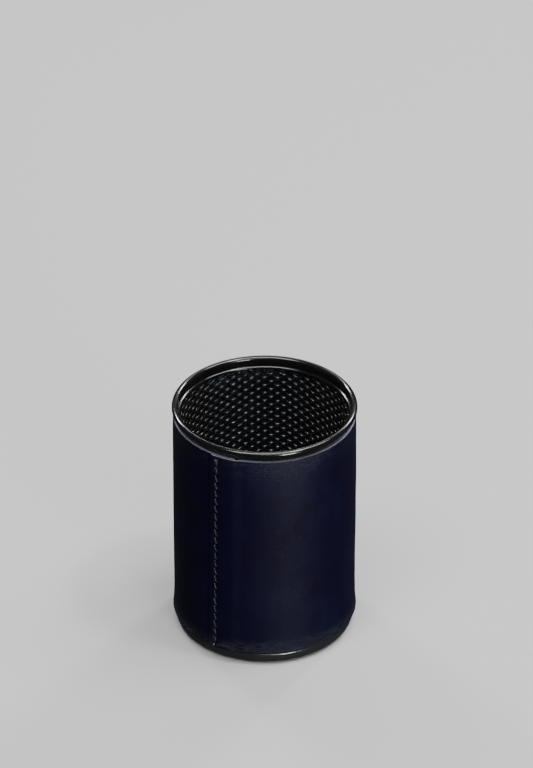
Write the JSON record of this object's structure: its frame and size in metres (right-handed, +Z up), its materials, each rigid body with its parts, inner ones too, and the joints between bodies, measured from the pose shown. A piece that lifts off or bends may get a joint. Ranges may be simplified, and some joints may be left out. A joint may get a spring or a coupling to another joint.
{
  "type": "pen holder cup",
  "caption": "Round expanded-metal desk cup with a rolled rim and base ring, wrapped in a leather sleeve with a lapped, stitched seam.",
  "frame": {"origin": "on the cup's axis, at the face it stands on", "axes": "+Z up along the cup's axis; -Y is the front, with the seam to the left of it"},
  "size_m": [0.08, 0.08, 0.11],
  "materials": {
    "mesh": "gloss black paint on expanded steel",
    "rim": "gloss black paint on rolled steel sheet",
    "leather": "semi-gloss smooth dark navy leather with burnished edges",
    "thread": "waxed dark navy thread"
  },
  "bodies": {
    "root": {"mesh_floor": "mesh", "mesh_wall": "mesh", "base_ring": "rim", "top_rim": "rim", "leather_sleeve": "leather", "stitch_thread": "thread"}
  },
  "joints": []
}
